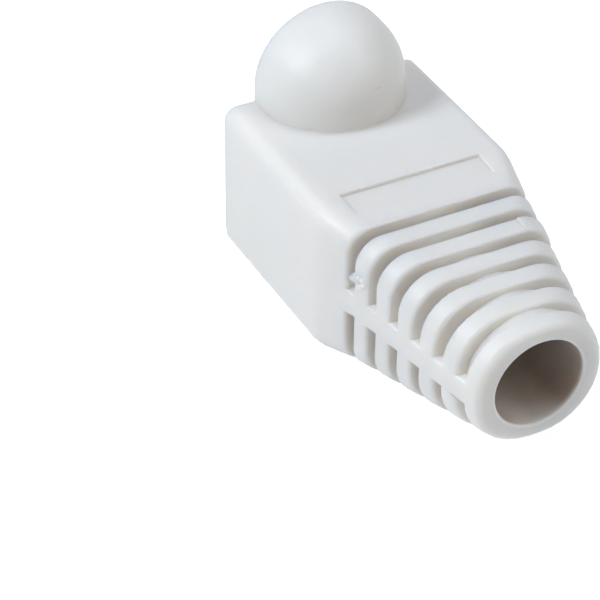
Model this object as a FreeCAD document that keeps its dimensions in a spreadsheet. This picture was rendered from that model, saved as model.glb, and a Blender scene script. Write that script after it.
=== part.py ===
"""Strain relief boot for an RJ45 (8P8C) plug, moulded in one piece.

Frame: +X runs from the mouth to the cable exit, +Z is the side of the latch hood and
+Y is to the left. The origin is where the axis of the cable bore meets the mouth
plane. All lengths are in millimetres.
"""
import FreeCAD, Part
import math
import os
import Sketcher

V = FreeCAD.Vector

# Sizes that are set by themselves: name, value, meaning.
SIZES = [
    ("body_width", "14.0", "outside width across the mouth"),
    ("body_top", "5.17", "bore axis up to the top face"),
    ("body_bottom", "5.26", "bore axis down to the underside"),
    ("body_corner", "0.9", "radius of the four long edges"),
    ("side_wall", "1.1", "wall beside the plug"),
    ("roof_wall", "1.07", "wall above the plug"),
    ("floor_wall", "1.89", "wall under the plug"),
    ("cavity_depth", "9.2", "mouth to the back wall of the plug space"),
    ("rim_band", "1.05", "height of the stepped band along the lower rim"),
    ("rim_step", "0.1", "how far that band is set back from the mouth"),
    ("hood_radius", "4.85", "outside radius of the latch hood"),
    ("hood_wall", "0.7", "wall of the latch hood"),
    ("hood_straight", "1.25", "straight run of the hood behind the mouth"),
    ("hood_legs", "1.13", "upright legs from the top face to the arch centre"),
    ("bore_radius", "3.02", "cable bore"),
    ("bore_lead", "0.3", "lead-in cone where the bore leaves the plug space"),
    ("bore_blend", "0.12", "rounding of the bore's rim in the end face"),
    ("tube_wall", "0.95", "wall of the cable tube between the fins"),
    ("end_side", "0.31", "end ring beyond the tube, each side"),
    ("end_over", "0.08", "end ring beyond the tube, at the top"),
    ("end_under", "0.08", "end ring beyond the tube, at the foot"),
    ("end_flat", "0.24", "straight run left on each side of the end ring"),
    ("end_blend", "0.45", "rounding of the outer edge of the end face"),
    ("taper_gap", "2.3", "back wall of the plug space to the start of the taper"),
    ("label_gap", "0.25", "start of the taper to the label recess"),
    ("label_length", "1.95", "label recess along the body"),
    ("label_width", "9.8", "label recess across the body"),
    ("label_depth", "0.2", "label recess below the top face"),
    ("slot_gap", "1.65", "label recess to the first slot"),
    ("slot_width", "0.82", "width of every slot along the body"),
    ("slot_pitch", "2.062", "one slot to the next"),
    ("slot_count", "6", "slots in each row"),
    ("web_height", "1.6", "height of the web that ties the fins on each side"),
    ("ring_length", "1.20", "last slot to the end face"),
    ("cut_over", "1.0", "how far a cut starts outside the surface"),
]

# Sizes that follow from those: name, formula, meaning.
DERIVED = [
    ("taper_start", "Sizes.cavity_depth + Sizes.taper_gap", "where the body starts to narrow"),
    ("label_start", "taper_start + Sizes.label_gap", "mouth side of the label recess"),
    ("slot_start", "label_start + Sizes.label_length + Sizes.slot_gap",
     "mouth side of the first slot"),
    ("slot_run", "Sizes.slot_pitch * (Sizes.slot_count - 1)", "first slot to last slot"),
    ("total_length", "slot_start + slot_run + Sizes.slot_width + Sizes.ring_length",
     "mouth to end face"),
    ("tube_radius", "Sizes.bore_radius + Sizes.tube_wall", "outside of the cable tube"),
    ("end_width", "2 * (tube_radius + Sizes.end_side)", "width of the end ring"),
    ("end_top", "tube_radius + Sizes.end_over", "bore axis up to the top of the end ring"),
    ("end_bottom", "tube_radius + Sizes.end_under", "bore axis down to its foot"),
    ("end_corner", "0.5 * (min(end_width; end_top + end_bottom) - Sizes.end_flat)",
     "corner radius of the end ring"),
    ("cavity_width", "Sizes.body_width - 2 * Sizes.side_wall", "width of the plug space"),
    ("cavity_top", "Sizes.body_top - Sizes.roof_wall", "bore axis up to its roof"),
    ("cavity_bottom", "Sizes.body_bottom - Sizes.floor_wall", "bore axis down to its floor"),
    ("hood_centre", "Sizes.body_top + Sizes.hood_legs", "height of the hood's arch centre"),
    ("hood_inner", "Sizes.hood_radius - Sizes.hood_wall", "inside radius of the hood"),
    ("roof_middle", "Sizes.body_top - 0.5 * Sizes.roof_wall", "height of the middle of the roof"),
    ("top_slope", "(Sizes.body_top - end_top) / (total_length - taper_start)",
     "fall of the top face along the taper, per millimetre"),
    ("label_edge", "Sizes.body_top - top_slope * Sizes.label_gap",
     "height of the top face where the label recess starts"),
    ("label_fall", "top_slope * Sizes.label_length", "fall of the top face along the recess"),
]

doc = FreeCAD.newDocument("boot")

sheet = doc.addObject("Spreadsheet::Sheet", "Sizes")
for row, (name, value, meaning) in enumerate(SIZES, start=1):
    sheet.set(f"A{row}", name)
    sheet.set(f"B{row}", value)
    sheet.set(f"C{row}", meaning)
    sheet.setAlias(f"B{row}", name)
doc.recompute()

derived = doc.addObject("App::VarSet", "Derived")
for name, formula, meaning in DERIVED:
    derived.addProperty("App::PropertyFloat", name, "Derived", meaning)
    derived.setExpression(name, formula)
doc.recompute()

body = doc.addObject("PartDesign::Body", "Boot")
body.Label = "boot"
PLANES = {item.Role: item for item in body.Origin.OriginFeatures}
ORIGIN, Y_AXIS = range(-1, -3, -1)      # how a sketch numbers its origin and upright axis
START, END, CENTRE = range(1, 4)        # how it numbers the points of a line or an arc
SAME = 1e-4                             # lengths closer than this are equal


def value(formula):
    """Present value of a formula, for the first guess of a sketch."""
    return float(derived.evalExpression(formula))


def new_sketch(plane, name, forward="0", across="0"):
    """Empty sketch on an origin plane, moved along its normal and across it."""
    sketch = body.newObject("Sketcher::SketchObject", name)
    sketch.AttachmentSupport = [(PLANES[plane], "")]
    sketch.MapMode = "FlatFace"
    sketch.setExpression("AttachmentOffset.Base.z", forward)
    sketch.setExpression("AttachmentOffset.Base.x", across)
    doc.recompute()
    return sketch


def tie(sketch, name, constraint, formula):
    """Add a dimension, name it and tie it to the sizes."""
    index = sketch.addConstraint(constraint)
    sketch.renameConstraint(index, name)
    sketch.setExpression(f"Constraints.{name}", formula)


def join(sketch, kind, *points):
    """Add one geometric constraint."""
    return sketch.addConstraint(Sketcher.Constraint(kind, *points))


def settle(sketch):
    """Recompute a finished sketch and make sure that nothing in it is left loose."""
    doc.recompute()
    if sketch.solve() != 0 or not sketch.FullyConstrained:
        raise RuntimeError(f"{sketch.Name} is not fully constrained")


def rounded_rectangle(sketch, width, top, bottom, corner):
    """Round-cornered outline about the bore axis; every size is a formula."""
    half, up, down, radius = value(width) / 2, value(top), value(bottom), value(corner)
    centres = [
        (half - radius, up - radius),
        (radius - half, up - radius),
        (radius - half, radius - down),
        (half - radius, radius - down),
    ]
    arcs, lines = [], []
    for quarter, (y, z) in enumerate(centres):
        start = quarter * math.pi / 2
        circle = Part.Circle(V(y, z, 0), V(0, 0, 1), radius)
        arc = Part.ArcOfCircle(circle, start, start + math.pi / 2)
        arcs.append(sketch.addGeometry(arc))
    for quarter in range(4):
        first = sketch.getPoint(arcs[quarter], END)
        last = sketch.getPoint(arcs[(quarter + 1) % 4], START)
        lines.append(sketch.addGeometry(Part.LineSegment(first, last)))
    for quarter in range(4):
        join(sketch, "Tangent", arcs[quarter], END, lines[quarter], START)
        join(sketch, "Tangent", lines[quarter], END, arcs[(quarter + 1) % 4], START)
    for quarter in range(3):
        join(sketch, "Equal", arcs[quarter], arcs[quarter + 1])
    roof, left, floor, right = lines
    join(sketch, "Vertical", left)
    join(sketch, "Horizontal", floor)
    join(sketch, "Vertical", right)
    join(sketch, "Symmetric", roof, START, roof, END, Y_AXIS)
    tie(sketch, "Corner", Sketcher.Constraint("Radius", arcs[0], radius), corner)
    tie(sketch, "HalfWidth",
        Sketcher.Constraint("DistanceX", left, START, ORIGIN, 1, half), f"0.5 * ({width})")
    tie(sketch, "Top", Sketcher.Constraint("DistanceY", ORIGIN, 1, roof, START, up), top)
    tie(sketch, "Bottom", Sketcher.Constraint("DistanceY", floor, START, ORIGIN, 1, down), bottom)
    settle(sketch)


def polygon(sketch, corners):
    """Closed outline with straight sides; each corner is a pair of formulas."""
    points = [V(value(across), value(up), 0) for across, up in corners]
    lines = []
    for first, last in zip(points, points[1:] + points[:1]):
        lines.append(sketch.addGeometry(Part.LineSegment(first, last)))
    for number, line in enumerate(lines):
        join(sketch, "Coincident", line, END, lines[(number + 1) % len(lines)], START)
    place_corners(sketch, lines, corners)
    settle(sketch)


def place_corners(sketch, lines, corners):
    """Tie the first point of each line to its pair of formulas."""
    for number, (line, (across, up)) in enumerate(zip(lines, corners), start=1):
        point = sketch.getPoint(line, START)
        tie(sketch, f"Across{number}",
            Sketcher.Constraint("DistanceX", ORIGIN, 1, line, START, point.x), across)
        tie(sketch, f"Up{number}",
            Sketcher.Constraint("DistanceY", ORIGIN, 1, line, START, point.y), up)


def arch(sketch, radius, foot, centre):
    """Half-round arch on upright legs, closed along its foot."""
    r, low, high = value(radius), value(foot), value(centre)
    bow = sketch.addGeometry(
        Part.ArcOfCircle(Part.Circle(V(0, high, 0), V(0, 0, 1), r), 0, math.pi))
    corners = [V(-r, high, 0), V(-r, low, 0), V(r, low, 0), V(r, high, 0)]
    left, base, right = [
        sketch.addGeometry(Part.LineSegment(first, last))
        for first, last in zip(corners, corners[1:])
    ]
    join(sketch, "Tangent", bow, END, left, START)
    join(sketch, "Coincident", left, END, base, START)
    join(sketch, "Coincident", base, END, right, START)
    join(sketch, "Tangent", right, END, bow, START)
    join(sketch, "Horizontal", base)
    join(sketch, "Vertical", left)
    join(sketch, "Vertical", right)
    join(sketch, "PointOnObject", bow, CENTRE, Y_AXIS)
    tie(sketch, "Radius", Sketcher.Constraint("Radius", bow, r), radius)
    tie(sketch, "Foot", Sketcher.Constraint("DistanceY", ORIGIN, 1, base, START, low), foot)
    tie(sketch, "Centre", Sketcher.Constraint("DistanceY", ORIGIN, 1, bow, CENTRE, high), centre)
    settle(sketch)


def half_arch(sketch, radius, foot, centre):
    """Right half of that arch, to be turned about the sketch's upright axis."""
    r, low, high = value(radius), value(foot), value(centre)
    bow = sketch.addGeometry(
        Part.ArcOfCircle(Part.Circle(V(0, high, 0), V(0, 0, 1), r), 0, math.pi / 2))
    corners = [V(0, high + r, 0), V(0, low, 0), V(r, low, 0), V(r, high, 0)]
    axis, base, leg = [
        sketch.addGeometry(Part.LineSegment(first, last))
        for first, last in zip(corners, corners[1:])
    ]
    join(sketch, "Coincident", bow, END, axis, START)
    join(sketch, "Coincident", axis, END, base, START)
    join(sketch, "Coincident", base, END, leg, START)
    join(sketch, "Tangent", leg, END, bow, START)
    join(sketch, "PointOnObject", axis, START, Y_AXIS)
    join(sketch, "PointOnObject", bow, CENTRE, Y_AXIS)
    join(sketch, "PointOnObject", axis, END, Y_AXIS)
    join(sketch, "Horizontal", base)
    join(sketch, "Vertical", leg)
    tie(sketch, "Radius", Sketcher.Constraint("Radius", bow, r), radius)
    tie(sketch, "Foot", Sketcher.Constraint("DistanceY", ORIGIN, 1, base, START, low), foot)
    tie(sketch, "Centre", Sketcher.Constraint("DistanceY", ORIGIN, 1, bow, CENTRE, high), centre)
    settle(sketch)


def over_tube(sketch, far, low, high):
    """Region above the side webs and outside the cable tube, out to a wide box."""
    r, wide, web, top = value("Derived.tube_radius"), value(far), value(low), value(high)
    turn = math.asin(web / r)
    side = r * math.cos(turn)
    crown = sketch.addGeometry(
        Part.ArcOfCircle(Part.Circle(V(0, 0, 0), V(0, 0, 1), r), turn, math.pi - turn))
    corners = [V(-side, web, 0), V(-wide, web, 0), V(-wide, top, 0), V(wide, top, 0),
               V(wide, web, 0), V(side, web, 0)]
    lines = [
        sketch.addGeometry(Part.LineSegment(first, last))
        for first, last in zip(corners, corners[1:])
    ]
    join(sketch, "Coincident", crown, END, lines[0], START)
    for first, last in zip(lines, lines[1:]):
        join(sketch, "Coincident", first, END, last, START)
    join(sketch, "Coincident", lines[-1], END, crown, START)
    join(sketch, "Horizontal", lines[0])
    join(sketch, "Vertical", lines[1])
    join(sketch, "Vertical", lines[3])
    join(sketch, "Horizontal", lines[4])
    join(sketch, "Coincident", crown, CENTRE, ORIGIN, 1)
    join(sketch, "Symmetric", lines[2], START, lines[2], END, Y_AXIS)
    join(sketch, "Horizontal", crown, START, crown, END)
    tie(sketch, "Tube", Sketcher.Constraint("Radius", crown, r), "Derived.tube_radius")
    tie(sketch, "Web", Sketcher.Constraint("DistanceY", ORIGIN, 1, crown, START, web), low)
    tie(sketch, "Far", Sketcher.Constraint("DistanceX", ORIGIN, 1, lines[2], END, wide), far)
    tie(sketch, "High", Sketcher.Constraint("DistanceY", ORIGIN, 1, lines[2], END, top), high)
    settle(sketch)


def pad(name, sketch, length):
    """Add an outline's prism, towards the cable exit."""
    feature = body.newObject("PartDesign::Pad", name)
    feature.Profile = sketch
    feature.setExpression("Length", length)
    return finish(feature, "more")


def pocket(name, sketch, length, both_ways=False):
    """Cut an outline's prism, towards the cable exit or to both sides."""
    feature = body.newObject("PartDesign::Pocket", name)
    feature.Profile = sketch
    feature.Reversed = not both_ways
    feature.SideType = "Symmetric" if both_ways else "One side"
    feature.setExpression("Length", length)
    return finish(feature, "less")


def turned(kind, name, sketch, axis, angle, change):
    """Revolution or groove about one of its sketch's axes, even about the sketch."""
    feature = body.newObject(kind, name)
    feature.Profile = sketch
    feature.ReferenceAxis = (sketch, [axis])
    feature.Angle = angle
    feature.Midplane = True
    return finish(feature, change)


def finish(feature, change):
    """Recompute a feature and make sure that it added or cut something."""
    doc.recompute()
    before = feature.BaseFeature.Shape.Volume if feature.BaseFeature else 0.0
    gained = feature.Shape.Volume - before
    if change == "more" and gained <= 0 or change == "less" and gained >= 0:
        raise RuntimeError(f"{feature.Name} changed the volume by {gained:.3f}")
    return feature


# Outer form: a straight box for the plug, then a loft down to the round cable end.
outline = new_sketch("YZ_Plane", "BoxOutline")
rounded_rectangle(outline, "Sizes.body_width", "Sizes.body_top", "Sizes.body_bottom",
                  "Sizes.body_corner")
pad("PlugBox", outline, "Derived.taper_start")

shoulder = new_sketch("YZ_Plane", "TaperStart", "Derived.taper_start")
rounded_rectangle(shoulder, "Sizes.body_width", "Sizes.body_top", "Sizes.body_bottom",
                  "Sizes.body_corner")
ring = new_sketch("YZ_Plane", "TaperEnd", "Derived.total_length")
rounded_rectangle(ring, "Derived.end_width", "Derived.end_top", "Derived.end_bottom",
                  "Derived.end_corner")
taper = body.newObject("PartDesign::AdditiveLoft", "Taper")
taper.Profile = shoulder
taper.Sections = [ring]
taper.Ruled = True
finish(taper, "more")

face_edges = [
    f"Edge{number}"
    for number, edge in enumerate(taper.Shape.Edges, start=1)
    if edge.BoundBox.XMin > value("Derived.total_length") - SAME
]
blend = body.newObject("PartDesign::Fillet", "EndBlend")
blend.Base = (taper, face_edges)
blend.setExpression("Radius", "Sizes.end_blend")
finish(blend, "less")

# Latch hood: an arch pushed back from the mouth, closed by the same arch turned
# through half a circle.
hood_arch = new_sketch("YZ_Plane", "HoodArch")
arch(hood_arch, "Sizes.hood_radius", "Derived.roof_middle", "Derived.hood_centre")
pad("HoodStraight", hood_arch, "Sizes.hood_straight")
hood_turn = new_sketch("XZ_Plane", "HoodTurn", across="Sizes.hood_straight")
half_arch(hood_turn, "Sizes.hood_radius", "Derived.roof_middle", "Derived.hood_centre")
turned("PartDesign::Revolution", "HoodDome", hood_turn, "V_Axis", 180, "more")

# Plug space, and the inside of the hood that opens up from it.
plug = new_sketch("YZ_Plane", "PlugOutline")
polygon(plug, [
    ("-0.5 * Derived.cavity_width", "-Derived.cavity_bottom"),
    ("0.5 * Derived.cavity_width", "-Derived.cavity_bottom"),
    ("0.5 * Derived.cavity_width", "Derived.cavity_top"),
    ("-0.5 * Derived.cavity_width", "Derived.cavity_top"),
])
pocket("PlugSpace", plug, "Sizes.cavity_depth")
latch_arch = new_sketch("YZ_Plane", "LatchArch")
arch(latch_arch, "Derived.hood_inner", "0", "Derived.hood_centre")
pocket("LatchStraight", latch_arch, "Sizes.hood_straight")
latch_turn = new_sketch("XZ_Plane", "LatchTurn", across="Sizes.hood_straight")
half_arch(latch_turn, "Derived.hood_inner", "0", "Derived.hood_centre")
turned("PartDesign::Groove", "LatchDome", latch_turn, "V_Axis", 180, "less")

# Cable bore with a short lead-in cone at its inner end.
bore = new_sketch("XZ_Plane", "BoreProfile")
polygon(bore, [
    ("Sizes.cavity_depth", "0"),
    ("Derived.total_length", "0"),
    ("Derived.total_length", "Sizes.bore_radius"),
    ("Sizes.cavity_depth + Sizes.bore_lead", "Sizes.bore_radius"),
    ("Sizes.cavity_depth", "Sizes.bore_radius + Sizes.bore_lead"),
])
turned("PartDesign::Groove", "CableBore", bore, "H_Axis", 360, "less")

rim = body.newObject("PartDesign::Fillet", "BoreRim")
cut = doc.getObject("CableBore")
rim_edges = [
    f"Edge{number}"
    for number, edge in enumerate(cut.Shape.Edges, start=1)
    if edge.BoundBox.XMin > value("Derived.total_length") - SAME
    and abs(edge.BoundBox.YLength / 2 - value("Sizes.bore_radius")) < SAME
]
rim.Base = (cut, rim_edges)
rim.setExpression("Radius", "Sizes.bore_blend")
finish(rim, "less")

# Flexing fins: one slot over the tube, mirrored under it, and the pair repeated
# along the taper. The webs on both sides are what the slots leave.
slot = new_sketch("YZ_Plane", "SlotOutline", "Derived.slot_start")
over_tube(slot, "0.5 * Sizes.body_width + Sizes.cut_over", "0.5 * Sizes.web_height",
          "Sizes.body_top + Sizes.cut_over")
first_slot = pocket("FirstSlot", slot, "Sizes.slot_width")
rows = body.newObject("PartDesign::MultiTransform", "SlotRows")
under = body.newObject("PartDesign::Mirrored", "SlotUnder")
under.MirrorPlane = (PLANES["XY_Plane"], [""])
along = body.newObject("PartDesign::LinearPattern", "SlotAlong")
along.Direction = (PLANES["X_Axis"], [""])
along.setExpression("Length", "Derived.slot_run")
along.setExpression("Occurrences", "Sizes.slot_count")
rows.Originals = [first_slot]
rows.Transformations = [under, along]
body.Tip = rows
finish(rows, "less")

# Shallow label recess whose floor follows the taper of the top face.
recess = new_sketch("XZ_Plane", "LabelProfile")
polygon(recess, [
    ("Derived.label_start", "Derived.label_edge - Sizes.label_depth"),
    ("Derived.label_start + Sizes.label_length",
     "Derived.label_edge - Derived.label_fall - Sizes.label_depth"),
    ("Derived.label_start + Sizes.label_length", "Derived.label_edge + Sizes.cut_over"),
    ("Derived.label_start", "Derived.label_edge + Sizes.cut_over"),
])
pocket("LabelRecess", recess, "Sizes.label_width", both_ways=True)

# Band along the foot of the mouth that stands back from the rest of the rim.
band = new_sketch("YZ_Plane", "RimBand")
polygon(band, [
    ("-0.5 * Sizes.body_width - Sizes.cut_over", "-Sizes.body_bottom - Sizes.cut_over"),
    ("0.5 * Sizes.body_width + Sizes.cut_over", "-Sizes.body_bottom - Sizes.cut_over"),
    ("0.5 * Sizes.body_width + Sizes.cut_over", "-Sizes.body_bottom + Sizes.rim_band"),
    ("-0.5 * Sizes.body_width - Sizes.cut_over", "-Sizes.body_bottom + Sizes.rim_band"),
])
pocket("RimStep", band, "Sizes.rim_step")

body.Tip = doc.getObject("RimStep")
doc.recompute()

faulty = [item.Name for item in doc.Objects if {"Invalid", "Error"} & set(item.State)]
if faulty:
    raise RuntimeError(f"features that failed: {faulty}")
shape = body.Shape
if shape.isNull() or not shape.isValid() or len(shape.Solids) != 1:
    raise RuntimeError("the boot is not one valid solid")

os.makedirs("parts", exist_ok=True)
shape.exportStep(f"parts/{body.Label}.step")
box = shape.BoundBox
print(f"{body.Label}: {box.XLength:.2f} x {box.YLength:.2f} x {box.ZLength:.2f} mm, "
      f"{shape.Volume:.1f} mm3, {len(shape.Faces)} faces")
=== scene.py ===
"""Dresses the strain relief boot: one soft moulding with rounded fins, in its studio.

Lengths are metres in the part's own frame: +X from the mouth to the cable exit, +Z
towards the latch hood and +Y to the left, with the origin where the axis of the cable
bore meets the mouth plane.
"""
import math
from contextlib import contextmanager

import bmesh
import bpy
from bpy.props import FloatProperty, FloatVectorProperty, IntProperty, PointerProperty
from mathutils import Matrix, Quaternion, Vector


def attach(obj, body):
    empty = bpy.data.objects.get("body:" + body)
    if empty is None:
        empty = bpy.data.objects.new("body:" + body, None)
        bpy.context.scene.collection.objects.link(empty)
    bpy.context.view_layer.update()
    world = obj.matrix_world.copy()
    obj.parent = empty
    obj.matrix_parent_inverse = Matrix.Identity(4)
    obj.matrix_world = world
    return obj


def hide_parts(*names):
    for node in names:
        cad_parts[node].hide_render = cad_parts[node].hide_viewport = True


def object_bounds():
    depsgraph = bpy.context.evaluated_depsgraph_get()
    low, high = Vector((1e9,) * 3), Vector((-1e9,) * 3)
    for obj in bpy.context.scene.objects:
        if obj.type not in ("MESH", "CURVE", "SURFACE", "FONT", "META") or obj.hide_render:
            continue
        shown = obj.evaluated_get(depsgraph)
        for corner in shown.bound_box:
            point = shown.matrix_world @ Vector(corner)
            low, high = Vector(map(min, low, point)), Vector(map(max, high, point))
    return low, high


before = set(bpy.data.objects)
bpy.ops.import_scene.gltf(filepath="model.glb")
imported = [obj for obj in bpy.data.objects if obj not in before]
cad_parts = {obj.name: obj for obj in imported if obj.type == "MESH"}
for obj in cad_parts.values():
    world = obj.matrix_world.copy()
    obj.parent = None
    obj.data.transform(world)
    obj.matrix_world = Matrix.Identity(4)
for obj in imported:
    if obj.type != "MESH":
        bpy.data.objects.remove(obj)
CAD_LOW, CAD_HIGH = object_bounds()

bl_info = {
    "name": "Strain relief boot",
    "version": (1, 0, 0),
    "blender": (4, 5, 0),
    "location": "3D View > Sidebar > Boot",
    "description": "Models the moulded boot, its finish and a plain studio",
    "category": "Object",
}

MM = 0.001
X, Y, Z = range(3)
NEAR = 1e-6                     # places closer than this are the same
FLAT = 0.9                      # a face whose normal passes this along an axis faces that way
LEVEL = 0.99                    # past this along Z, a face lies on the top or the underside
RIDGE = math.radians(30)        # faces that meet at more than this make a ridge or a hollow
ONE_PLANE = math.radians(0.5)   # faces that meet at less than this lie in one plane
SMOOTH = math.radians(35)       # faces that meet at less than this are shaded as one
BEYOND = 1.0 * MM               # how far a cutting form starts outside the moulding
HOOD_FACETS = 64                # facets round the whole circle that the hood is half of
BORE_FACETS = 96                # facets round the cable bore
WHITE = (1.0, 1.0, 1.0)
LAMPS = ("key", "top", "end", "back")


def size(name, millimetres, description):
    """Length property, given in millimetres."""
    return FloatProperty(name=name, description=description, default=millimetres * MM,
                         unit="LENGTH", precision=5)


def colour(name, red, green, blue, description):
    """Colour property."""
    return FloatVectorProperty(name=name, description=description, size=3,
                               default=(red, green, blue), subtype="COLOR", min=0.0, max=1.0)


def spot(name, x, y, z, description):
    """Place property, given in millimetres."""
    return FloatVectorProperty(name=name, description=description, size=3,
                               default=(x * MM, y * MM, z * MM), subtype="TRANSLATION",
                               unit="LENGTH", precision=5)


def turn(name, degrees, description):
    """Angle property, given in degrees."""
    return FloatProperty(name=name, description=description, default=math.radians(degrees),
                         subtype="ANGLE")


def share(name, default, description):
    """Property between 0 and 1."""
    return FloatProperty(name=name, description=description, default=default,
                         min=0.0, max=1.0, subtype="FACTOR")


def scale(name, default, description):
    """Property for the fineness of a pattern."""
    return FloatProperty(name=name, description=description, default=default, min=0.0)


def way(name, x, y, z, description):
    """Direction property."""
    return FloatVectorProperty(name=name, description=description, size=3,
                               default=(x, y, z), subtype="DIRECTION")


def power(name, watts, description):
    """Lamp power property."""
    return FloatProperty(name=name, description=description, default=watts, min=0.0,
                         unit="POWER")


# ---------------------------------------------------------------- what a user can change

class BootSizes(bpy.types.PropertyGroup):
    """Sizes of the moulding; its length, width and underside come from the frame."""
    length: size("Length", CAD_HIGH.x / MM, "Mouth to end face")
    width: size("Width", (CAD_HIGH.y - CAD_LOW.y) / MM, "Outside width across the mouth")
    under: size("Underside", -CAD_LOW.z / MM, "Bore axis down to the underside")
    top: size("Top face", 5.17, "Bore axis up to the top face")
    corner: size("Long edges", 0.9, "Radius of the four long edges")
    side_wall: size("Side wall", 1.1, "Wall beside the plug")
    roof_wall: size("Roof wall", 1.07, "Wall above the plug")
    floor_wall: size("Floor wall", 1.89, "Wall under the plug")
    depth: size("Plug space", 9.2, "Mouth to the back wall of the plug space")
    band: size("Rim band", 1.05, "Height of the stepped band along the lower rim")
    band_step: size("Rim step", 0.1, "How far that band is set back")
    hood: size("Hood radius", 4.85, "Outside radius of the latch hood")
    hood_wall: size("Hood wall", 0.7, "Wall of the latch hood")
    hood_run: size("Hood run", 1.25, "Straight run of the hood behind the mouth")
    hood_legs: size("Hood legs", 1.13, "Upright legs from the top face to the arch's centre")
    bore: size("Bore radius", 3.02, "Radius of the cable bore")
    lead: size("Lead-in", 0.3, "Cone where the bore leaves the plug space")
    tube: size("Tube radius", 3.97, "Outside of the cable tube between the fins")
    end_half: size("End ring, half width", 4.28, "Bore axis to the side of the end ring")
    end_high: size("End ring, half height", 4.05, "Bore axis to its top and foot")
    end_corner: size("End ring corner", 3.93, "Corner radius of the end ring")
    taper: size("Taper start", 11.5, "Mouth to where the body starts to narrow")
    slot_start: size("First slot", 15.35, "Mouth to the first slot")
    slot: size("Slot width", 0.82, "Width of every slot along the body")
    pitch: size("Slot pitch", 2.062, "One slot to the next")
    slots: IntProperty(name="Slots", description="Slots in each row", default=6, min=1)
    web: size("Web height", 1.6, "Height of the web that ties the fins on each side")
    label_start: size("Recess start", 11.75, "Mouth side of the label recess")
    label_length: size("Recess length", 1.95, "Label recess along the body")
    label_width: size("Recess width", 9.8, "Label recess across the body")
    label_depth: size("Recess depth", 0.2, "Label recess below the top face")


class BootEdges(bpy.types.PropertyGroup):
    """Roundings, soft bends and flaws that the mould leaves."""
    fin: size("Fin edges", 0.26, "Rounding of the fins' cable-side edges round the sides")
    fin_sharp: size("Fine fin edges", 0.1, "Rounding of the fins' other edges")
    end: size("End ring edge", 0.45, "Rounding of the outer edge of the end face")
    bore: size("Bore rim", 0.12, "Rounding of the bore's rim in the end face")
    mouth: size("Mouth edges", 0.06, "Rounding of the edges round the mouth")
    label: size("Recess edges", 0.03, "Rounding of the label recess")
    crease: size("Side bend", 0.6, "Half length of the soft bend where a side narrows")
    left_crease: size("Left bend", 11.9, "Mouth to where the left side narrows")
    right_crease: size("Right bend", 12.7, "Mouth to where the right side narrows")
    foot: size("Hood foot", 0.12, "Hollow rounding where the hood stands on the body")
    flash: size("Flash", 0.95, "Size of the torn flash on the first fin")
    flash_rise: size("Flash place", 2.15, "Bore axis up to the middle of the flash")
    flash_way: way("Flash way", -0.8, -0.25, -0.45, "Way that its shard points")
    crumbs: IntProperty(name="Crumbs", default=5, min=0,
                        description="Crumbs of flash across the first fin")
    step: size("Mismatch", 0.1, "How far one corner of the second fin stands proud")
    step_place: size("Mismatch place", 3.74, "Middle of the body to that step")
    step_run: size("Mismatch run", 0.06, "Width of that step")
    corner_steps: IntProperty(name="Corner steps", default=8, min=2,
                              description="Facets round each of the four long edges")
    strips: IntProperty(name="Strips", default=5, min=1,
                        description="Strips from the middle of the top face to its edge")


class BootLook(bpy.types.PropertyGroup):
    """Finish of the plastic, with its painted shade and painted highlight."""
    plastic: colour("Plastic", 0.764, 0.733, 0.695, "Colour of the plastic")
    # painted shade: the share of the colour left where shade falls deep in the bore and plug
    # space
    inside: colour("Inside", 0.685, 0.64, 0.615, "Share of the colour left deep inside")
    # painted light: how much of that painted shade the lower wall of the bore escapes
    bore_floor_painted_light: share("Bore floor", 0.7, "How much paler the lower wall of the bore stays")
    # painted shade: the share of the colour left on two walls of the label recess, where shade
    # falls
    line: colour("Recess line", 0.89, 0.875, 0.86, "Share left on two walls of the recess")
    # painted highlight: a paler colour on the rounded rim of the bore
    rim: colour("Rim line", 0.9, 0.865, 0.82, "Colour of the rim of the bore")
    cloud_depth: share("Cloud depth", 0.975, "Darkest cloud, as a share of the colour")
    cloud_scale: scale("Cloud scale", 180.0, "Clouds to the metre")
    grain_scale: scale("Grain scale", 9000.0, "Grains to the metre")
    grain_strength: share("Grain strength", 0.5, "Strength of the moulded grain")
    grain_depth: size("Grain depth", 0.03, "Height of the moulded grain")
    roughness: share("Roughness", 0.43, "Roughness of the satin surface")
    ior: FloatProperty(name="Refraction", description="Refractive index of the plastic",
                       default=1.42, min=1.0)
    gloss_spread: share("Gloss spread", 0.3, "How much the grain changes the roughness")
    glow: share("Glow", 1.0, "Share of the light that goes into the plastic")
    glow_depth: size("Glow depth", 2.2, "How far the light goes in")
    glow_tint: colour("Glow tint", 1.0, 0.85, 0.7, "Share of that depth for each colour")
    mark_place: spot("Mark", 5.77, 0.98, 7.74, "Middle of the scratch on the hood")
    mark_size: spot("Mark size", 0.4, 0.45, 0.07, "Half sizes of the scratch")
    mark_turn: turn("Mark turn", -7.7, "Turn of the scratch about the body's axis")
    mark_depth: share("Mark depth", 0.14, "Strength of the scratch")
    mark_tint: colour("Mark tint", 0.3, 0.27, 0.25, "Share of the colour left in the scratch")


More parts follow.
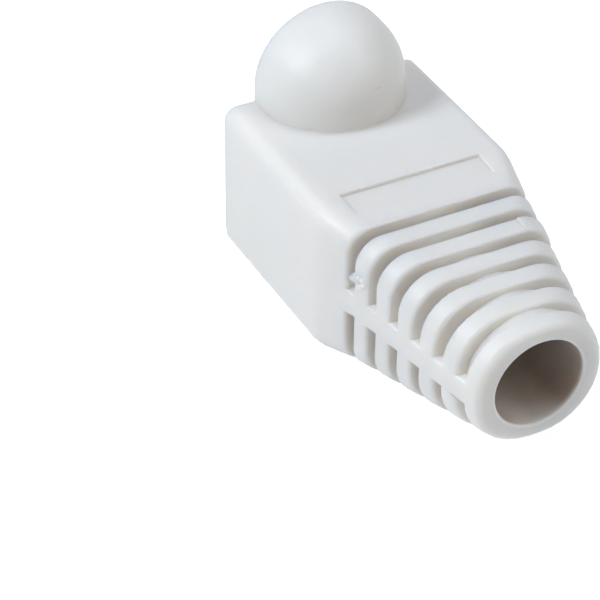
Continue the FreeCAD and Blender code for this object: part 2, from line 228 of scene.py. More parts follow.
class BootStudio(bpy.types.PropertyGroup):
    """Floor, lamps, surroundings and camera."""
    floor: colour("Floor", 0.9, 0.9, 0.9, "Colour of the floor")
    floor_lift: share("Floor lift", 0.45, "Share of plain white in the floor where it is seen")
    floor_glow: FloatProperty(name="Floor glow", default=1.85, min=0.0,
                              description="Brightness of that white")
    floor_roughness: share("Floor roughness", 0.9, "Roughness of the floor")
    reach: size("Floor radius", 900.0, "Radius of the floor")
    fill: colour("Fill", 1.0, 0.99, 0.97, "Colour of the surroundings' light")
    fill_strength: FloatProperty(name="Fill strength", default=0.02, min=0.0,
                                 description="Strength of the surroundings' light")
    lamp_distance: size("Lamp distance", 400.0, "Boot to the middle of each lamp")
    key_way: way("Key lamp", -0.12, -0.75, 0.65, "Way to the key lamp")
    key_width: size("Key width", 160.0, "Width of the key lamp")
    key_power: power("Key power", 1.24, "Power of the key lamp")
    key_tint: colour("Key tint", 0.868, 0.93, 1.0, "Colour of the key lamp's light")
    top_way: way("Top lamp", 0.0, 0.15, 1.0, "Way to the top lamp")
    top_width: size("Top width", 330.0, "Width of the top lamp")
    top_power: power("Top power", 0.78, "Power of the top lamp")
    top_tint: colour("Top tint", 0.79, 0.868, 1.0, "Colour of the top lamp's light")
    end_way: way("End lamp", 0.6, 0.6, 0.5, "Way to the lamp beyond the cable exit")
    end_width: size("End width", 300.0, "Width of that lamp")
    end_power: power("End power", 0.42, "Power of that lamp")
    end_tint: colour("End tint", 0.98, 1.0, 1.0, "Colour of that lamp's light")
    back_way: way("Back lamp", -0.85, -0.35, 0.35, "Way to the lamp behind the mouth")
    back_width: size("Back width", 200.0, "Width of that lamp")
    back_power: power("Back power", 0.03, "Power of that lamp")
    back_tint: colour("Back tint", 0.9, 0.95, 1.0, "Colour of that lamp's light")
    aim: spot("Aim", 4.7483, -3.9149, -7.9662, "Point that the camera looks at")
    azimuth: turn("Azimuth", 62.336, "Turn of the camera round the boot, 0 along +Y")
    elevation: turn("Elevation", 37.09, "Rise of the camera above the horizon")
    roll: turn("Roll", 0.419, "Turn of the camera about its own axis")
    distance: size("Distance", 179.239, "Camera to the point it looks at")
    lens: FloatProperty(name="Lens", default=163.31, min=1.0, unit="CAMERA",
                        description="Focal length on a sensor 36 mm wide")


# ---------------------------------------------------------------- handling of meshes

def wake(piece):
    """Make a piece the only selected and the active object."""
    bpy.ops.object.select_all(action="DESELECT")
    piece.select_set(True)
    bpy.context.view_layer.objects.active = piece


@contextmanager
def editing(piece):
    """Edit mode on one piece, with nothing selected."""
    wake(piece)
    bpy.ops.object.mode_set(mode="EDIT")
    bpy.ops.mesh.select_all(action="DESELECT")
    yield
    bpy.ops.object.mode_set(mode="OBJECT")


def pick(kind, test):
    """Select the verts, edges or faces of the edited mesh that pass a test."""
    bpy.ops.mesh.select_mode(type={"verts": "VERT", "edges": "EDGE", "faces": "FACE"}[kind])
    bpy.ops.mesh.select_all(action="DESELECT")
    form = bmesh.from_edit_mesh(bpy.context.edit_object.data)
    form.normal_update()
    chosen = [item for item in getattr(form, kind) if test(item)]
    for item in chosen:
        item.select_set(True)
    form.select_flush_mode()
    bmesh.update_edit_mesh(bpy.context.edit_object.data)
    if not chosen:
        raise RuntimeError(f"no {kind} picked")


def in_plane(item, axis, place):
    """Whether an edge or face lies in a plane square to one axis."""
    return all(abs(vert.co[axis] - place) < NEAR for vert in item.verts)


def middle(item):
    """Middle of an edge's or face's corners."""
    return sum((vert.co for vert in item.verts), Vector()) / len(item.verts)


def is_ridge(edge):
    """Whether an edge stands out."""
    return len(edge.link_faces) == 2 and edge.calc_face_angle_signed() > RIDGE


def is_hollow(edge):
    """Whether an edge is an inner corner."""
    return len(edge.link_faces) == 2 and edge.calc_face_angle_signed() < -RIDGE


def slice_at(axis, place):
    """Cut the whole edited mesh by a plane square to one axis."""
    normal = [0.0, 0.0, 0.0]
    normal[axis] = 1.0
    point = [place * part for part in normal]
    bpy.ops.mesh.select_all(action="SELECT")
    bpy.ops.mesh.bisect(plane_co=point, plane_no=normal, threshold=NEAR / 10)


def round_edges(radius, steps):
    """Round the selected edges."""
    bpy.ops.mesh.bevel(offset=radius, offset_type="OFFSET", segments=steps, profile=0.5,
                       affect="EDGES", clamp_overlap=False, miter_outer="SHARP")


def join_flat(test):
    """Join the faces that pass a test where they lie in one plane."""
    pick("faces", test)
    bpy.ops.mesh.dissolve_limited(angle_limit=ONE_PLANE)


def start_from(primitive, name, **settings):
    """Add a primitive to model from, its place and size in its mesh."""
    bpy.ops.object.select_all(action="DESELECT")
    primitive(**settings)
    piece = bpy.context.object
    piece.name = piece.data.name = name
    bpy.ops.object.transform_apply(location=True, rotation=True, scale=True)
    return piece


def block(name, low, high):
    """Box between two corners."""
    low, high = Vector(low), Vector(high)
    return start_from(bpy.ops.mesh.primitive_cube_add, name, size=1.0,
                      location=(low + high) / 2, scale=high - low)


def apply_modifier(piece, kind, **settings):
    """Add a modifier, set it up and apply it."""
    wake(piece)
    change = piece.modifiers.new(kind.lower(), kind)
    for setting, value in settings.items():
        setattr(change, setting, value)
    bpy.ops.object.modifier_apply(modifier=change.name)


def combine(piece, tool, operation):
    """Join a form to a piece or cut it out of it, and throw the form away."""
    apply_modifier(piece, "BOOLEAN", operation=operation, solver="EXACT", object=tool)
    wake(tool)
    bpy.ops.object.delete()


# ---------------------------------------------------------------- the moulding

def tapered_skin(sizes, edges):
    """Outer skin: a round-cornered box whose far end is drawn down to the end ring."""
    half, corner = sizes.width / 2, sizes.corner
    skin = block("boot_moulding", (0, -half, -sizes.under), (sizes.taper, half, sizes.top))
    with editing(skin):
        pick("edges", lambda edge: abs(edge.verts[0].co.x - edge.verts[1].co.x) > NEAR)
        round_edges(corner, edges.corner_steps)
        pick("faces", lambda face: abs(face.normal.x) > FLAT)
        bpy.ops.mesh.delete(type="ONLY_FACE")
        for strip in range(1 - edges.strips, edges.strips):
            slice_at(Y, (half - corner) * strip / edges.strips)
        pick("edges", lambda edge: in_plane(edge, X, sizes.taper))
        run = sizes.length - sizes.taper
        bpy.ops.mesh.extrude_edges_move(TRANSFORM_OT_translate={"value": (run, 0, 0)})
        shape_end_ring(sizes)
        slice_at(X, sizes.slot_start)
        for side, place in ((1, edges.left_crease), (-1, edges.right_crease)):
            pick("verts", lambda vert: abs(vert.co.x - sizes.taper) < NEAR
                 and vert.co.y * side > half - corner + NEAR)
            bpy.ops.transform.translate(value=(place - sizes.taper, 0, 0))
            pick("edges", lambda edge: in_plane(edge, X, place))
            round_edges(edges.crease, steps=3)
        for place in (sizes.label_start, sizes.label_start + sizes.label_length):
            slice_at(X, place)
        for wall in slot_walls(sizes):
            slice_at(X, wall)
        slice_at(Z, sizes.web / 2)
        slice_at(Z, -sizes.web / 2)
    return skin


def shape_end_ring(sizes):
    """Draw the far ring in: its corners grow round and its flats shrink."""
    half, corner, end = sizes.width / 2, sizes.corner, sizes.length
    flat = half - corner
    end_flat = sizes.end_half - sizes.end_corner
    end_rise = sizes.end_high - sizes.end_corner
    grow = sizes.end_corner / corner
    for up, reach in ((1, sizes.top), (-1, sizes.under)):
        rise = reach - corner
        for side in (1, -1):
            pick("verts", lambda vert: abs(vert.co.x - end) < NEAR
                 and vert.co.y * side > flat - NEAR and vert.co.z * up > rise - NEAR)
            centre = (end, side * flat, up * rise)
            bpy.ops.transform.resize(value=(1, grow, grow), center_override=centre)
            shift = (0, side * (end_flat - flat), up * (end_rise - rise))
            bpy.ops.transform.translate(value=shift)
        pick("verts", lambda vert: abs(vert.co.x - end) < NEAR
             and abs(vert.co.z - up * reach) < NEAR)
        bpy.ops.transform.resize(value=(1, end_flat / flat, 1), center_override=(end, 0, 0))
        bpy.ops.transform.translate(value=(0, 0, up * (sizes.end_high - reach)))


def slot_walls(sizes):
    """Places of both walls of every slot."""
    for number in range(sizes.slots):
        start = sizes.slot_start + number * sizes.pitch
        yield start
        yield start + sizes.slot


def sink_slots(sizes, skin):
    """Sink the rows of slots to the cable tube and keep the side webs between them."""
    walls = list(slot_walls(sizes))
    with editing(skin):
        for start, end in zip(walls[::2], walls[1::2]):
            for up in (1, -1):
                pick("faces", lambda face: start < middle(face).x < end
                     and middle(face).z * up > sizes.web / 2)
                bpy.ops.mesh.extrude_region()
                lay_on_tube(sizes, up)


def lay_on_tube(sizes, up):
    """Move the selected slot floor in to the cable tube, its ends level with the webs."""
    form = bmesh.from_edit_mesh(bpy.context.edit_object.data)
    floor = [vert for vert in form.verts if vert.select]
    web_turn = math.asin(sizes.web / 2 / sizes.tube)
    quarter = math.pi / 2
    for start in {round(vert.co.x / NEAR) for vert in floor}:
        ring = [vert for vert in floor if round(vert.co.x / NEAR) == start]
        turns = [math.atan2(abs(vert.co.z), abs(vert.co.y)) for vert in ring]
        lowest = min(turns)
        for vert, old_turn in zip(ring, turns):
            risen = (old_turn - lowest) / (quarter - lowest)
            new_turn = web_turn + risen * (quarter - web_turn)
            vert.co.y = math.copysign(sizes.tube * math.cos(new_turn), vert.co.y)
            vert.co.z = up * sizes.tube * math.sin(new_turn)
    bmesh.update_edit_mesh(bpy.context.edit_object.data)


def sink_label(sizes, skin):
    """Sink the flat recess in the top of the taper."""
    start, end = sizes.label_start, sizes.label_start + sizes.label_length

    def is_top_strip(face):
        return face.normal.z > FLAT and start < middle(face).x < end

    with editing(skin):
        for side in (1, -1):
            pick("faces", is_top_strip)
            bpy.ops.mesh.bisect(plane_co=(0, side * sizes.label_width / 2, 0),
                                plane_no=(0, 1, 0), threshold=NEAR / 10)
        pick("faces", lambda face: is_top_strip(face)
             and abs(middle(face).y) < sizes.label_width / 2)
        bpy.ops.mesh.extrude_region()
        bpy.ops.transform.translate(value=(0, 0, -sizes.label_depth))


def round_rims(sizes, edges, skin):
    """Round the edges of the slots and of the label recess."""
    recess_end = sizes.label_start + sizes.label_length
    starts = list(slot_walls(sizes))[::2]
    with editing(skin):
        pick("edges", lambda edge: is_web_seam(sizes, edge))
        bpy.ops.mesh.dissolve_edges(use_verts=True)
        pick("edges", lambda edge: is_ridge(edge) and middle(edge).x > recess_end + NEAR)
        bpy.ops.transform.edge_bevelweight(value=edges.fin_sharp / edges.fin)
        pick("edges", lambda edge: is_ridge(edge) and is_off_top(edge)
             and any(in_plane(edge, X, start) for start in starts))
        bpy.ops.transform.edge_bevelweight(value=1.0)
    apply_modifier(skin, "BEVEL", limit_method="WEIGHT", width=edges.fin, segments=3,
                   use_clamp_overlap=False)
    with editing(skin):
        pick("edges", lambda edge: is_ridge(edge) and middle(edge).x < recess_end + NEAR)
        round_edges(edges.label, steps=2)


def is_web_seam(sizes, edge):
    """Whether an edge runs up a side web, in line with the wall of a slot."""
    low, high = sorted(vert.co.z for vert in edge.verts)
    return (abs(edge.verts[0].co.x - edge.verts[1].co.x) < NEAR
            and sizes.slot_start - NEAR < middle(edge).x < sizes.length - NEAR
            and high - low > NEAR and max(high, -low) < sizes.web / 2 + NEAR)


def is_off_top(edge):
    """Whether none of the faces beside an edge is flat on the top or underside."""
    return all(abs(face.normal.z) < LEVEL for face in edge.link_faces)


def raise_corner(sizes, edges, skin):
    """Set one top corner of the second fin proud, where the mould's halves do not match."""
    second_fin = list(slot_walls(sizes))[3:5]
    start, end = second_fin[0] - NEAR, second_fin[1] + NEAR
    narrowed = ((start + end) / 2 - sizes.taper) / (sizes.length - sizes.taper)
    corner = sizes.corner + narrowed * (sizes.end_corner - sizes.corner)
    centre_y = sizes.width / 2 + narrowed * (sizes.end_half - sizes.width / 2) - corner
    centre_z = sizes.top + narrowed * (sizes.end_high - sizes.top) - corner

    def is_fin(place):
        return start < place.x < end and place.z > 0 and place.yz.length > sizes.tube + NEAR

    with editing(skin):
        for place in (edges.step_place, edges.step_place + edges.step_run):
            pick("faces", lambda face: all(is_fin(vert.co) for vert in face.verts))
            bpy.ops.mesh.bisect(plane_co=(0, place, 0), plane_no=(0, 1, 0),
                                threshold=NEAR / 10)
        pick("verts", lambda vert: is_fin(vert.co) and vert.co.z > centre_z
             and vert.co.y > edges.step_place + edges.step_run - NEAR)
        grow = 1 + edges.step / corner
        bpy.ops.transform.resize(value=(1, grow, grow), center_override=(0, centre_y, centre_z))


def close_ends(sizes, edges, skin):
    """Close both ends and round the outer edge of the end face."""
    with editing(skin):
        for place in (0.0, sizes.length):
            pick("edges", lambda edge: in_plane(edge, X, place))
            bpy.ops.mesh.edge_face_add()
        pick("edges", lambda edge: in_plane(edge, X, sizes.length))
        round_edges(edges.end, steps=6)


def hood_form(sizes, name, radius, front, foot):
    """Closed form of the latch hood, on a foot: an arch, and the same arch turned to a dome."""
    back, rise = sizes.hood_run, sizes.top + sizes.hood_legs
    form = start_from(bpy.ops.mesh.primitive_circle_add, name, vertices=HOOD_FACETS,
                      radius=radius, location=(back, 0, rise), rotation=(0, math.pi / 2, 0))
    with editing(form):
        pick("verts", lambda vert: vert.co.z < rise - NEAR)
        bpy.ops.mesh.delete(type="VERT")
        pick("verts", lambda vert: vert.co.z < rise + NEAR)
        bpy.ops.mesh.extrude_region_move(TRANSFORM_OT_translate={"value": (0, 0, foot - rise)})
        bpy.ops.mesh.select_all(action="SELECT")
        shift = (front - back, 0, 0)
        bpy.ops.mesh.extrude_region_move(TRANSFORM_OT_translate={"value": shift})
        pick("verts", lambda vert: abs(vert.co.x - back) < NEAR and vert.co.y > -NEAR)
        bpy.ops.mesh.spin(steps=HOOD_FACETS // 2, angle=math.pi, center=(back, 0, 0),
                          axis=(0, 0, 1))
        bpy.ops.mesh.select_all(action="SELECT")
        bpy.ops.mesh.remove_doubles(threshold=NEAR)
        pick("edges", lambda edge: edge.is_boundary and in_plane(edge, X, front))
        bpy.ops.mesh.edge_face_add()
        pick("edges", lambda edge: edge.is_boundary and in_plane(edge, Z, foot))
        bpy.ops.mesh.edge_face_add()
        bpy.ops.mesh.select_all(action="SELECT")
        bpy.ops.mesh.normals_make_consistent(inside=False)
    return form


def bore_form(sizes):
    """Form of the cable bore with its lead-in cone, longer than both at either end."""
    start = sizes.depth + sizes.lead
    run = sizes.length + BEYOND - start
    form = start_from(bpy.ops.mesh.primitive_cylinder_add, "cable_bore",
                      vertices=BORE_FACETS, radius=sizes.bore, depth=run,
                      location=(start + run / 2, 0, 0), rotation=(0, math.pi / 2, 0))
    with editing(form):
        pick("faces", lambda face: in_plane(face, X, start))
        bpy.ops.mesh.extrude_region_move(
            TRANSFORM_OT_translate={"value": (-sizes.lead, 0, 0)})
        grow = (sizes.bore + sizes.lead) / sizes.bore
        bpy.ops.transform.resize(value=(1, grow, grow), center_override=(0, 0, 0))
        bpy.ops.mesh.extrude_region_move(TRANSFORM_OT_translate={"value": (-BEYOND, 0, 0)})
    return form


def add_hood(sizes, edges, skin):
    """Set the hood on the body, with a small hollow rounding round its foot."""
    foot = sizes.top - sizes.roof_wall / 2
    combine(skin, hood_form(sizes, "hood", sizes.hood, 0, foot), "UNION")
    with editing(skin):
        join_flat(lambda face: face.normal.z > FLAT and in_plane(face, Z, sizes.top))
        join_flat(is_mouth_face)
        pick("edges", lambda edge: is_hollow(edge) and in_plane(edge, Z, sizes.top))
        round_edges(edges.foot, steps=4)


def is_mouth_face(face):
    """Whether a face lies in the mouth plane and faces out of it."""
    return face.normal.x < -FLAT and in_plane(face, X, 0)


def hollow_out(sizes, skin):
    """Cut the plug space, the latch space, the cable bore and the band along the rim."""
    inside, outside = sizes.width / 2 - sizes.side_wall, sizes.width / 2 + BEYOND
    roof, floor = sizes.top - sizes.roof_wall, sizes.floor_wall - sizes.under
    low, high = -sizes.under - BEYOND, sizes.band - sizes.under
    latch = sizes.hood - sizes.hood_wall
    combine(skin, block("plug_space", (-BEYOND, -inside, floor), (sizes.depth, inside, roof)),
            "DIFFERENCE")
    combine(skin, hood_form(sizes, "latch_space", latch, -BEYOND, 0), "DIFFERENCE")
    combine(skin, bore_form(sizes), "DIFFERENCE")
    combine(skin, block("rim_band", (-BEYOND, -outside, low), (sizes.band_step, outside, high)),
            "DIFFERENCE")


def round_mouth(sizes, edges, skin):
    """Round the edges of the mouth and the rim of the bore."""
    with editing(skin):
        join_flat(is_mouth_face)
        pick("edges", lambda edge: is_ridge(edge)
             and max(vert.co.x for vert in edge.verts) < sizes.band_step + NEAR)
        round_edges(edges.mouth, steps=2)
        pick("edges", lambda edge: is_ridge(edge) and in_plane(edge, X, sizes.length))
        round_edges(edges.bore, steps=3)


def finish_surface(skin):
    """Smooth the moulding between its edges, with flat faces kept flat."""
    wake(skin)
    bpy.ops.object.shade_smooth_by_angle(angle=SMOOTH)
    apply_modifier(skin, "WEIGHTED_NORMAL", keep_sharp=True, weight=100)


def tear_flash(sizes, edges, skin):
    """Leave torn flash: a shard that leans over the first slot, and crumbs on the fin."""
    flash, rise, fin = edges.flash, edges.flash_rise, sizes.slot_start + sizes.slot
    rough = flash * 0.02
    lean = Vector(edges.flash_way).normalized()
    root = Vector((fin, -side_at(sizes, fin), rise))
    shard = start_from(bpy.ops.mesh.primitive_cone_add, "shard", vertices=12,
                       radius1=flash / 2, radius2=flash / 8, depth=flash * 0.8,
                       location=root + lean * flash * 0.05, scale=(0.4, 1, 1),
                       rotation=lean.to_track_quat("Z", "Y").to_euler())
    crumble(shard, rough, seed=4)
    combine(skin, shard, "UNION")
    first, pitch = flash * 0.25, flash * 0.17
    swing, turn_each = flash * 0.35, 2.4
    for number in range(edges.crumbs):
        along = fin + first + pitch * number
        up = rise + swing * math.sin(turn_each * number)
        crumb = start_from(bpy.ops.mesh.primitive_ico_sphere_add, "crumb", subdivisions=2,
                           radius=flash / 5, location=(along, -side_at(sizes, along), up),
                           scale=(1, 0.8, 1))
        crumble(crumb, rough, seed=number)
        combine(skin, crumb, "UNION")


def crumble(form, rough, seed):
    """Roughen the surface of a form."""
    with editing(form):
        bpy.ops.mesh.select_all(action="SELECT")
        bpy.ops.mesh.quads_convert_to_tris()
        bpy.ops.mesh.subdivide(number_cuts=1)
        bpy.ops.mesh.quads_convert_to_tris()
        bpy.ops.transform.vertex_random(offset=rough, seed=seed)


def side_at(sizes, along):
    """Half width of the taper at a place along it."""
    narrowed = (along - sizes.taper) / (sizes.length - sizes.taper)
    return sizes.width / 2 + narrowed * (sizes.end_half - sizes.width / 2)


# ---------------------------------------------------------------- shader maths

class Shade:
    """A socket used like a number: an expression on it adds the Math nodes it needs."""

    def __init__(self, tree, socket=None):
        self.tree = tree
        self.socket = socket

    def node(self, kind, settings=None, inputs=None, output=0):
        """Add a node: its settings first, then the values or links of its sockets."""
        made = self.tree.nodes.new(kind)
        for setting, value in (settings or {}).items():
            setattr(made, setting, value)
        for socket, value in (inputs or {}).items():
            if isinstance(value, Shade):
                self.tree.links.new(value.socket, made.inputs[socket])
            else:
                made.inputs[socket].default_value = value
        return Shade(self.tree, made.outputs[output] if made.outputs else None)

    def maths(self, operation, first, second):
        """Math node on two values."""
        return self.node("ShaderNodeMath", {"operation": operation}, {0: first, 1: second})

    def __add__(self, other):
        return self.maths("ADD", self, other)

    def __sub__(self, other):
        return self.maths("SUBTRACT", self, other)

    def __mul__(self, other):
        return self.maths("MULTIPLY", self, other)

    def __rsub__(self, other):
        return self.maths("SUBTRACT", other, self)

    def __pow__(self, other):
        return self.maths("POWER", self, other)

    def __neg__(self):
        return self.maths("MULTIPLY", self, -1.0)

    def __abs__(self):
        return self.maths("ABSOLUTE", self, 0.0)

    __radd__ = __add__
    __rmul__ = __mul__


def new_tree(owner):
    """Empty node tree of a material or world, ready to build in."""
    owner.use_nodes = True
    owner.node_tree.nodes.clear()
    return Shade(owner.node_tree)


def noise(place, waves):
    """Noise between 0 and 1, with so many waves to the metre."""
    return place.node("ShaderNodeTexNoise", None, {"Vector": place, "Scale": waves})


def rising(value, start, end):
    """0 where the value is at the start, rising smoothly to 1 at the end."""
    return value.node("ShaderNodeMapRange", {"interpolation_type": "SMOOTHSTEP"},
                      {"Value": value, "From Min": start, "From Max": end})


def falling(value, start, end):
    """1 where the value is at the start, falling smoothly to 0 at the end."""
    return 1 - rising(value, start, end)


def mixed(factor, first, second):
    """Colour between two, by a factor; the Mix node has its colours at sockets 6 and 7."""
    return factor.node("ShaderNodeMix", {"data_type": "RGBA"},
                       {0: factor, 6: first, 7: second}, 2)


def opaque(paint, left=WHITE):
    """Opaque colour, with a share left of each part of a paint."""
    return (*(part * rest for part, rest in zip(paint, left)), 1.0)


def painted_shade_inside(along, across, up, sizes, look):
    """Painted shade, where shade falls: 0 outside the boot and at its openings, 1 on the walls
    deep in the bore and plug space, less on the bore's lower wall.
    """
    skin, soft = 0.1 * MM, 0.5 * MM             # off a wall: still on it, and fading
    lip, throat = 0.45 * MM, 2 * MM             # fades at the end face and the plug space
    plug_lip, plug_deep = 0.3 * MM, 5 * MM      # off the mouth: the first dark, and the full
    low_wall = 0.7 * sizes.bore                 # below the axis: the paler lower wall
    radius = (across * across + up * up) ** 0.5
    bore = falling(radius, sizes.bore + skin, sizes.bore + soft) \
        * falling(along, sizes.length - lip, sizes.length) \
        * rising(along, sizes.depth - throat, sizes.depth + throat) \
        * (1 - look.bore_floor_painted_light * rising(-up, low_wall, sizes.bore))
    roof, floor = sizes.top - sizes.roof_wall, sizes.floor_wall - sizes.under
    past_side = abs(across) - (sizes.width / 2 - sizes.side_wall)
    past_roof = abs(up - (roof + floor) / 2) - (roof - floor) / 2
    past_wall = past_side.maths("MAXIMUM", past_side, past_roof)
    plug = falling(past_wall, skin, skin + soft) \
        * rising(along, plug_lip, plug_deep) \
        * falling(along, sizes.depth, sizes.depth + soft)
    return bore.maths("MAXIMUM", bore, plug)


def painted_shade_on_recess_walls(along, across, up, sizes):
    """Painted shade: 1 on the walls of the recess at its mouth side and right end, 0 away from
    them.
    """
    start, half = sizes.label_start, sizes.label_width / 2
    soft, thin, wide = 0.1 * MM, 0.03 * MM, 0.15 * MM
    fade_start, fade_end = 1.2 * MM, 1.8 * MM   # off the mouth side wall, along its end
    low, high = 1.2 * MM, 0.9 * MM              # below the top face
    to_back, to_end = abs(along - start), abs(across + half)
    within = rising(along, start - soft, start) \
        * falling(along, start + fade_start, start + fade_end) \
        * falling(abs(across), half, half + soft) \
        * rising(up, sizes.top - low, sizes.top - high)
    return falling(to_back.maths("MINIMUM", to_back, to_end), thin, wide) * within


def painted_highlight_on_bore_rim(along, across, up, sizes, rounding):
    """Painted highlight: 1 on the rounded rim of the bore in the end face, 0 away from it."""
    soft, wide = 0.4 * rounding, 1.2 * rounding
    start, radius = sizes.length - rounding, (across * across + up * up) ** 0.5
    return rising(along, start - soft, start + soft) \
        * falling(radius, sizes.bore + wide - soft, sizes.bore + wide + soft)


def on_scratch(place, look):
    """1 within the small scratch on the hood, fading to 0 at its ends."""
    core = 0.3                                  # share of its size that is full
    local = place.node("ShaderNodeMapping", {"vector_type": "TEXTURE"}, {
        "Vector": place, "Location": look.mark_place, "Rotation": (look.mark_turn, 0, 0),
        "Scale": look.mark_size})
    reach = place.node("ShaderNodeVectorMath", {"operation": "LENGTH"}, {0: local}, "Value")
    return falling(reach, core, 1.0)


def moulded_plastic(sizes, edges, look):
    """Soft satin plastic: cloudy by a hair, finely grained, a little light goes in; its colour
    has painted shade deep inside and on the recess walls, and a painted highlight on the bore
    rim.
    """
    plastic = bpy.data.materials.new("moulded_plastic")
    shade = new_tree(plastic)
    place = shade.node("ShaderNodeTexCoord", output="Object")
    parts = [place.node("ShaderNodeSeparateXYZ", None, {0: place}, axis) for axis in (X, Y, Z)]
    cloud, grain = noise(place, look.cloud_scale), noise(place, look.grain_scale)
    paint = mixed(cloud, opaque(look.plastic, [look.cloud_depth] * 3), opaque(look.plastic))
    # painted shade inside and on the recess walls, a painted highlight on the bore rim, then the
    # scratch on the hood
    for mask, tint in (
            (painted_shade_inside(*parts, sizes, look), opaque(look.plastic, look.inside)),
            (painted_shade_on_recess_walls(*parts, sizes), opaque(look.plastic, look.line)),
            (painted_highlight_on_bore_rim(*parts, sizes, edges.bore), opaque(look.rim)),
            (look.mark_depth * on_scratch(place, look), opaque(look.plastic, look.mark_tint))):
        paint = mixed(mask, paint, tint)
    bump = shade.node("ShaderNodeBump", None, {
        "Strength": look.grain_strength, "Distance": look.grain_depth, "Height": grain})
    surface = shade.node("ShaderNodeBsdfPrincipled", None, {
        "Base Color": paint,
        "Roughness": look.roughness + look.gloss_spread * (grain - 0.5),
        "Normal": bump,
        "Subsurface Weight": look.glow,
        "Subsurface Radius": look.glow_tint,
        "Subsurface Scale": look.glow_depth,
        "IOR": look.ior,
    })
    shade.node("ShaderNodeOutputMaterial", None, {"Surface": surface})
    return plastic


# ---------------------------------------------------------------- the studio

def seen_plain(shade):
    """1 for rays that show the surroundings: from the camera, mirrored or through glass."""
    camera, mirrored, through = (
        shade.node("ShaderNodeLightPath", output=name)
        for name in ("Is Camera Ray", "Is Glossy Ray", "Is Transmission Ray"))
    return camera + mirrored + through


def floor_paint(studio):
    """Pale floor that looks white where it is lit and keeps its shadows."""
    paint = bpy.data.materials.new("studio_floor")
    shade = new_tree(paint)
    matt = shade.node("ShaderNodeBsdfPrincipled", None, {
        "Base Color": opaque(studio.floor), "Roughness": studio.floor_roughness})
    white = shade.node("ShaderNodeEmission", None, {
        "Color": opaque(WHITE), "Strength": studio.floor_glow})
    surface = shade.node("ShaderNodeMixShader", None, {
        0: studio.floor_lift * seen_plain(shade), 1: matt, 2: white})
    shade.node("ShaderNodeOutputMaterial", None, {"Surface": surface})
    return paint


def lay_floor(sizes, studio):
    """Plain floor under the boot."""
    floor = start_from(bpy.ops.mesh.primitive_circle_add, "studio_floor", vertices=64,
                       radius=studio.reach, fill_type="NGON",
                       location=(sizes.length / 2, 0, -sizes.under))
    floor.data.materials.append(floor_paint(studio))


def soft_lamp(studio, name, aim):
    """Round lamp at its way from the aim point, turned to it."""
    back = Vector(getattr(studio, f"{name}_way")).normalized()
    bpy.ops.object.select_all(action="DESELECT")
    bpy.ops.object.light_add(type="AREA", location=aim + back * studio.lamp_distance,
                             rotation=back.to_track_quat("Z", "Y").to_euler())
    lamp = bpy.context.object
    lamp.name = lamp.data.name = f"{name}_lamp"
    lamp.data.shape = "DISK"
    lamp.data.size = getattr(studio, f"{name}_width")
    lamp.data.energy = getattr(studio, f"{name}_power")
    lamp.data.color = getattr(studio, f"{name}_tint")


def plain_world(studio):
    """White surroundings that light the boot softly."""
    world = bpy.data.worlds.new("studio_world")
    bpy.context.scene.world = world
    shade = new_tree(world)
    fill = shade.node("ShaderNodeBackground", None,
                      {"Color": opaque(studio.fill), "Strength": studio.fill_strength})
    white = shade.node("ShaderNodeBackground", None, {"Color": opaque(WHITE), "Strength": 1.0})
    surface = shade.node("ShaderNodeMixShader", None,
                         {0: seen_plain(shade), 1: fill, 2: white})
    shade.node("ShaderNodeOutputWorld", None, {"Surface": surface})


def place_camera(studio):
    """Camera that looks down at the end and one side of the boot."""
    azimuth, elevation = studio.azimuth, studio.elevation
    level = math.cos(elevation)
    back = Vector((math.sin(azimuth) * level, -math.cos(azimuth) * level, math.sin(elevation)))
    pose = back.to_track_quat("Z", "Y") @ Quaternion((0, 0, 1), studio.roll)
    bpy.ops.object.camera_add(location=Vector(studio.aim) + back * studio.distance,
                              rotation=pose.to_euler())
    camera = bpy.context.object
    camera.name = camera.data.name = "studio_camera"
    camera.data.lens = studio.lens
    camera.data.sensor_width = 36.0
    camera.data.clip_start = studio.distance / 20
    camera.data.clip_end = studio.reach * 4
    bpy.context.scene.camera = camera


# ---------------------------------------------------------------- operators and panel

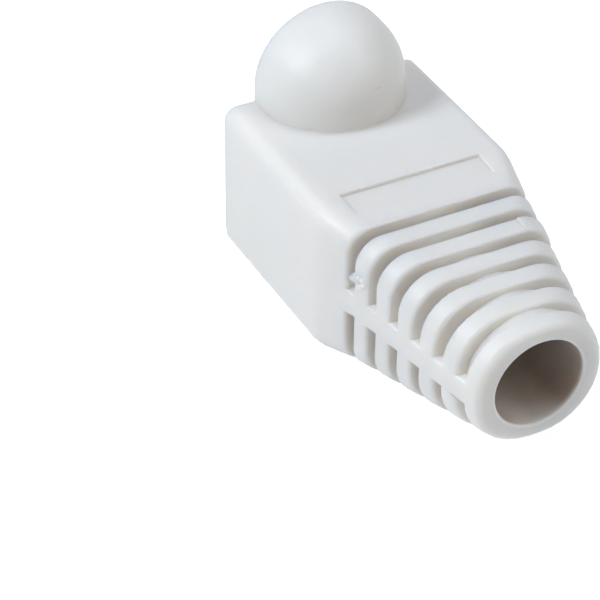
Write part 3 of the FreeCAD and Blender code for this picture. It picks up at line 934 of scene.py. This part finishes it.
class BOOT_OT_moulding(bpy.types.Operator):
    """Model the moulded boot in place of the frame's plain one"""
    bl_idname = "boot.moulding"
    bl_label = "Moulding"

    def execute(self, context):
        sizes, edges = context.scene.boot_sizes, context.scene.boot_edges
        skin = tapered_skin(sizes, edges)
        sink_slots(sizes, skin)
        sink_label(sizes, skin)
        round_rims(sizes, edges, skin)
        raise_corner(sizes, edges, skin)
        close_ends(sizes, edges, skin)
        tear_flash(sizes, edges, skin)
        add_hood(sizes, edges, skin)
        hollow_out(sizes, skin)
        round_mouth(sizes, edges, skin)
        finish_surface(skin)
        skin.data.materials.append(moulded_plastic(sizes, edges, context.scene.boot_look))
        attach(skin, "root")
        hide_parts("boot")
        return {"FINISHED"}


class BOOT_OT_studio(bpy.types.Operator):
    """Set up the floor, lamps, surroundings and camera"""
    bl_idname = "boot.studio"
    bl_label = "Studio"

    def execute(self, context):
        sizes, studio = context.scene.boot_sizes, context.scene.boot_studio
        lay_floor(sizes, studio)
        plain_world(studio)
        aim = Vector((sizes.length / 2, 0, 0))
        for name in LAMPS:
            soft_lamp(studio, name, aim)
        place_camera(studio)
        context.scene.view_settings.view_transform = "Standard"
        return {"FINISHED"}


class BOOT_PT_panel(bpy.types.Panel):
    """Sidebar panel with the steps in order and what can be changed"""
    bl_idname = "BOOT_PT_panel"
    bl_label = "Strain relief boot"
    bl_space_type = "VIEW_3D"
    bl_region_type = "UI"
    bl_category = "Boot"

    def draw(self, context):
        column = self.layout.column(align=True)
        for operator in OPERATORS:
            column.operator(operator.bl_idname)
        for name, group in GROUPS.items():
            for key in group.__annotations__:
                column.prop(getattr(context.scene, name), key)


GROUPS = {
    "boot_sizes": BootSizes,
    "boot_edges": BootEdges,
    "boot_look": BootLook,
    "boot_studio": BootStudio,
}
OPERATORS = (BOOT_OT_moulding, BOOT_OT_studio)


def register():
    """Register the groups, operators and panel."""
    for kind in (*GROUPS.values(), *OPERATORS, BOOT_PT_panel):
        bpy.utils.register_class(kind)
    for name, group in GROUPS.items():
        setattr(bpy.types.Scene, name, PointerProperty(type=group))


def unregister():
    """Take them all away again."""
    for name in GROUPS:
        delattr(bpy.types.Scene, name)
    for kind in (BOOT_PT_panel, *reversed(OPERATORS), *reversed(list(GROUPS.values()))):
        bpy.utils.unregister_class(kind)


def main():
    """Build the boot and its studio."""
    register()
    bpy.ops.boot.moulding()
    bpy.ops.boot.studio()


if __name__ == "__main__":
    main()
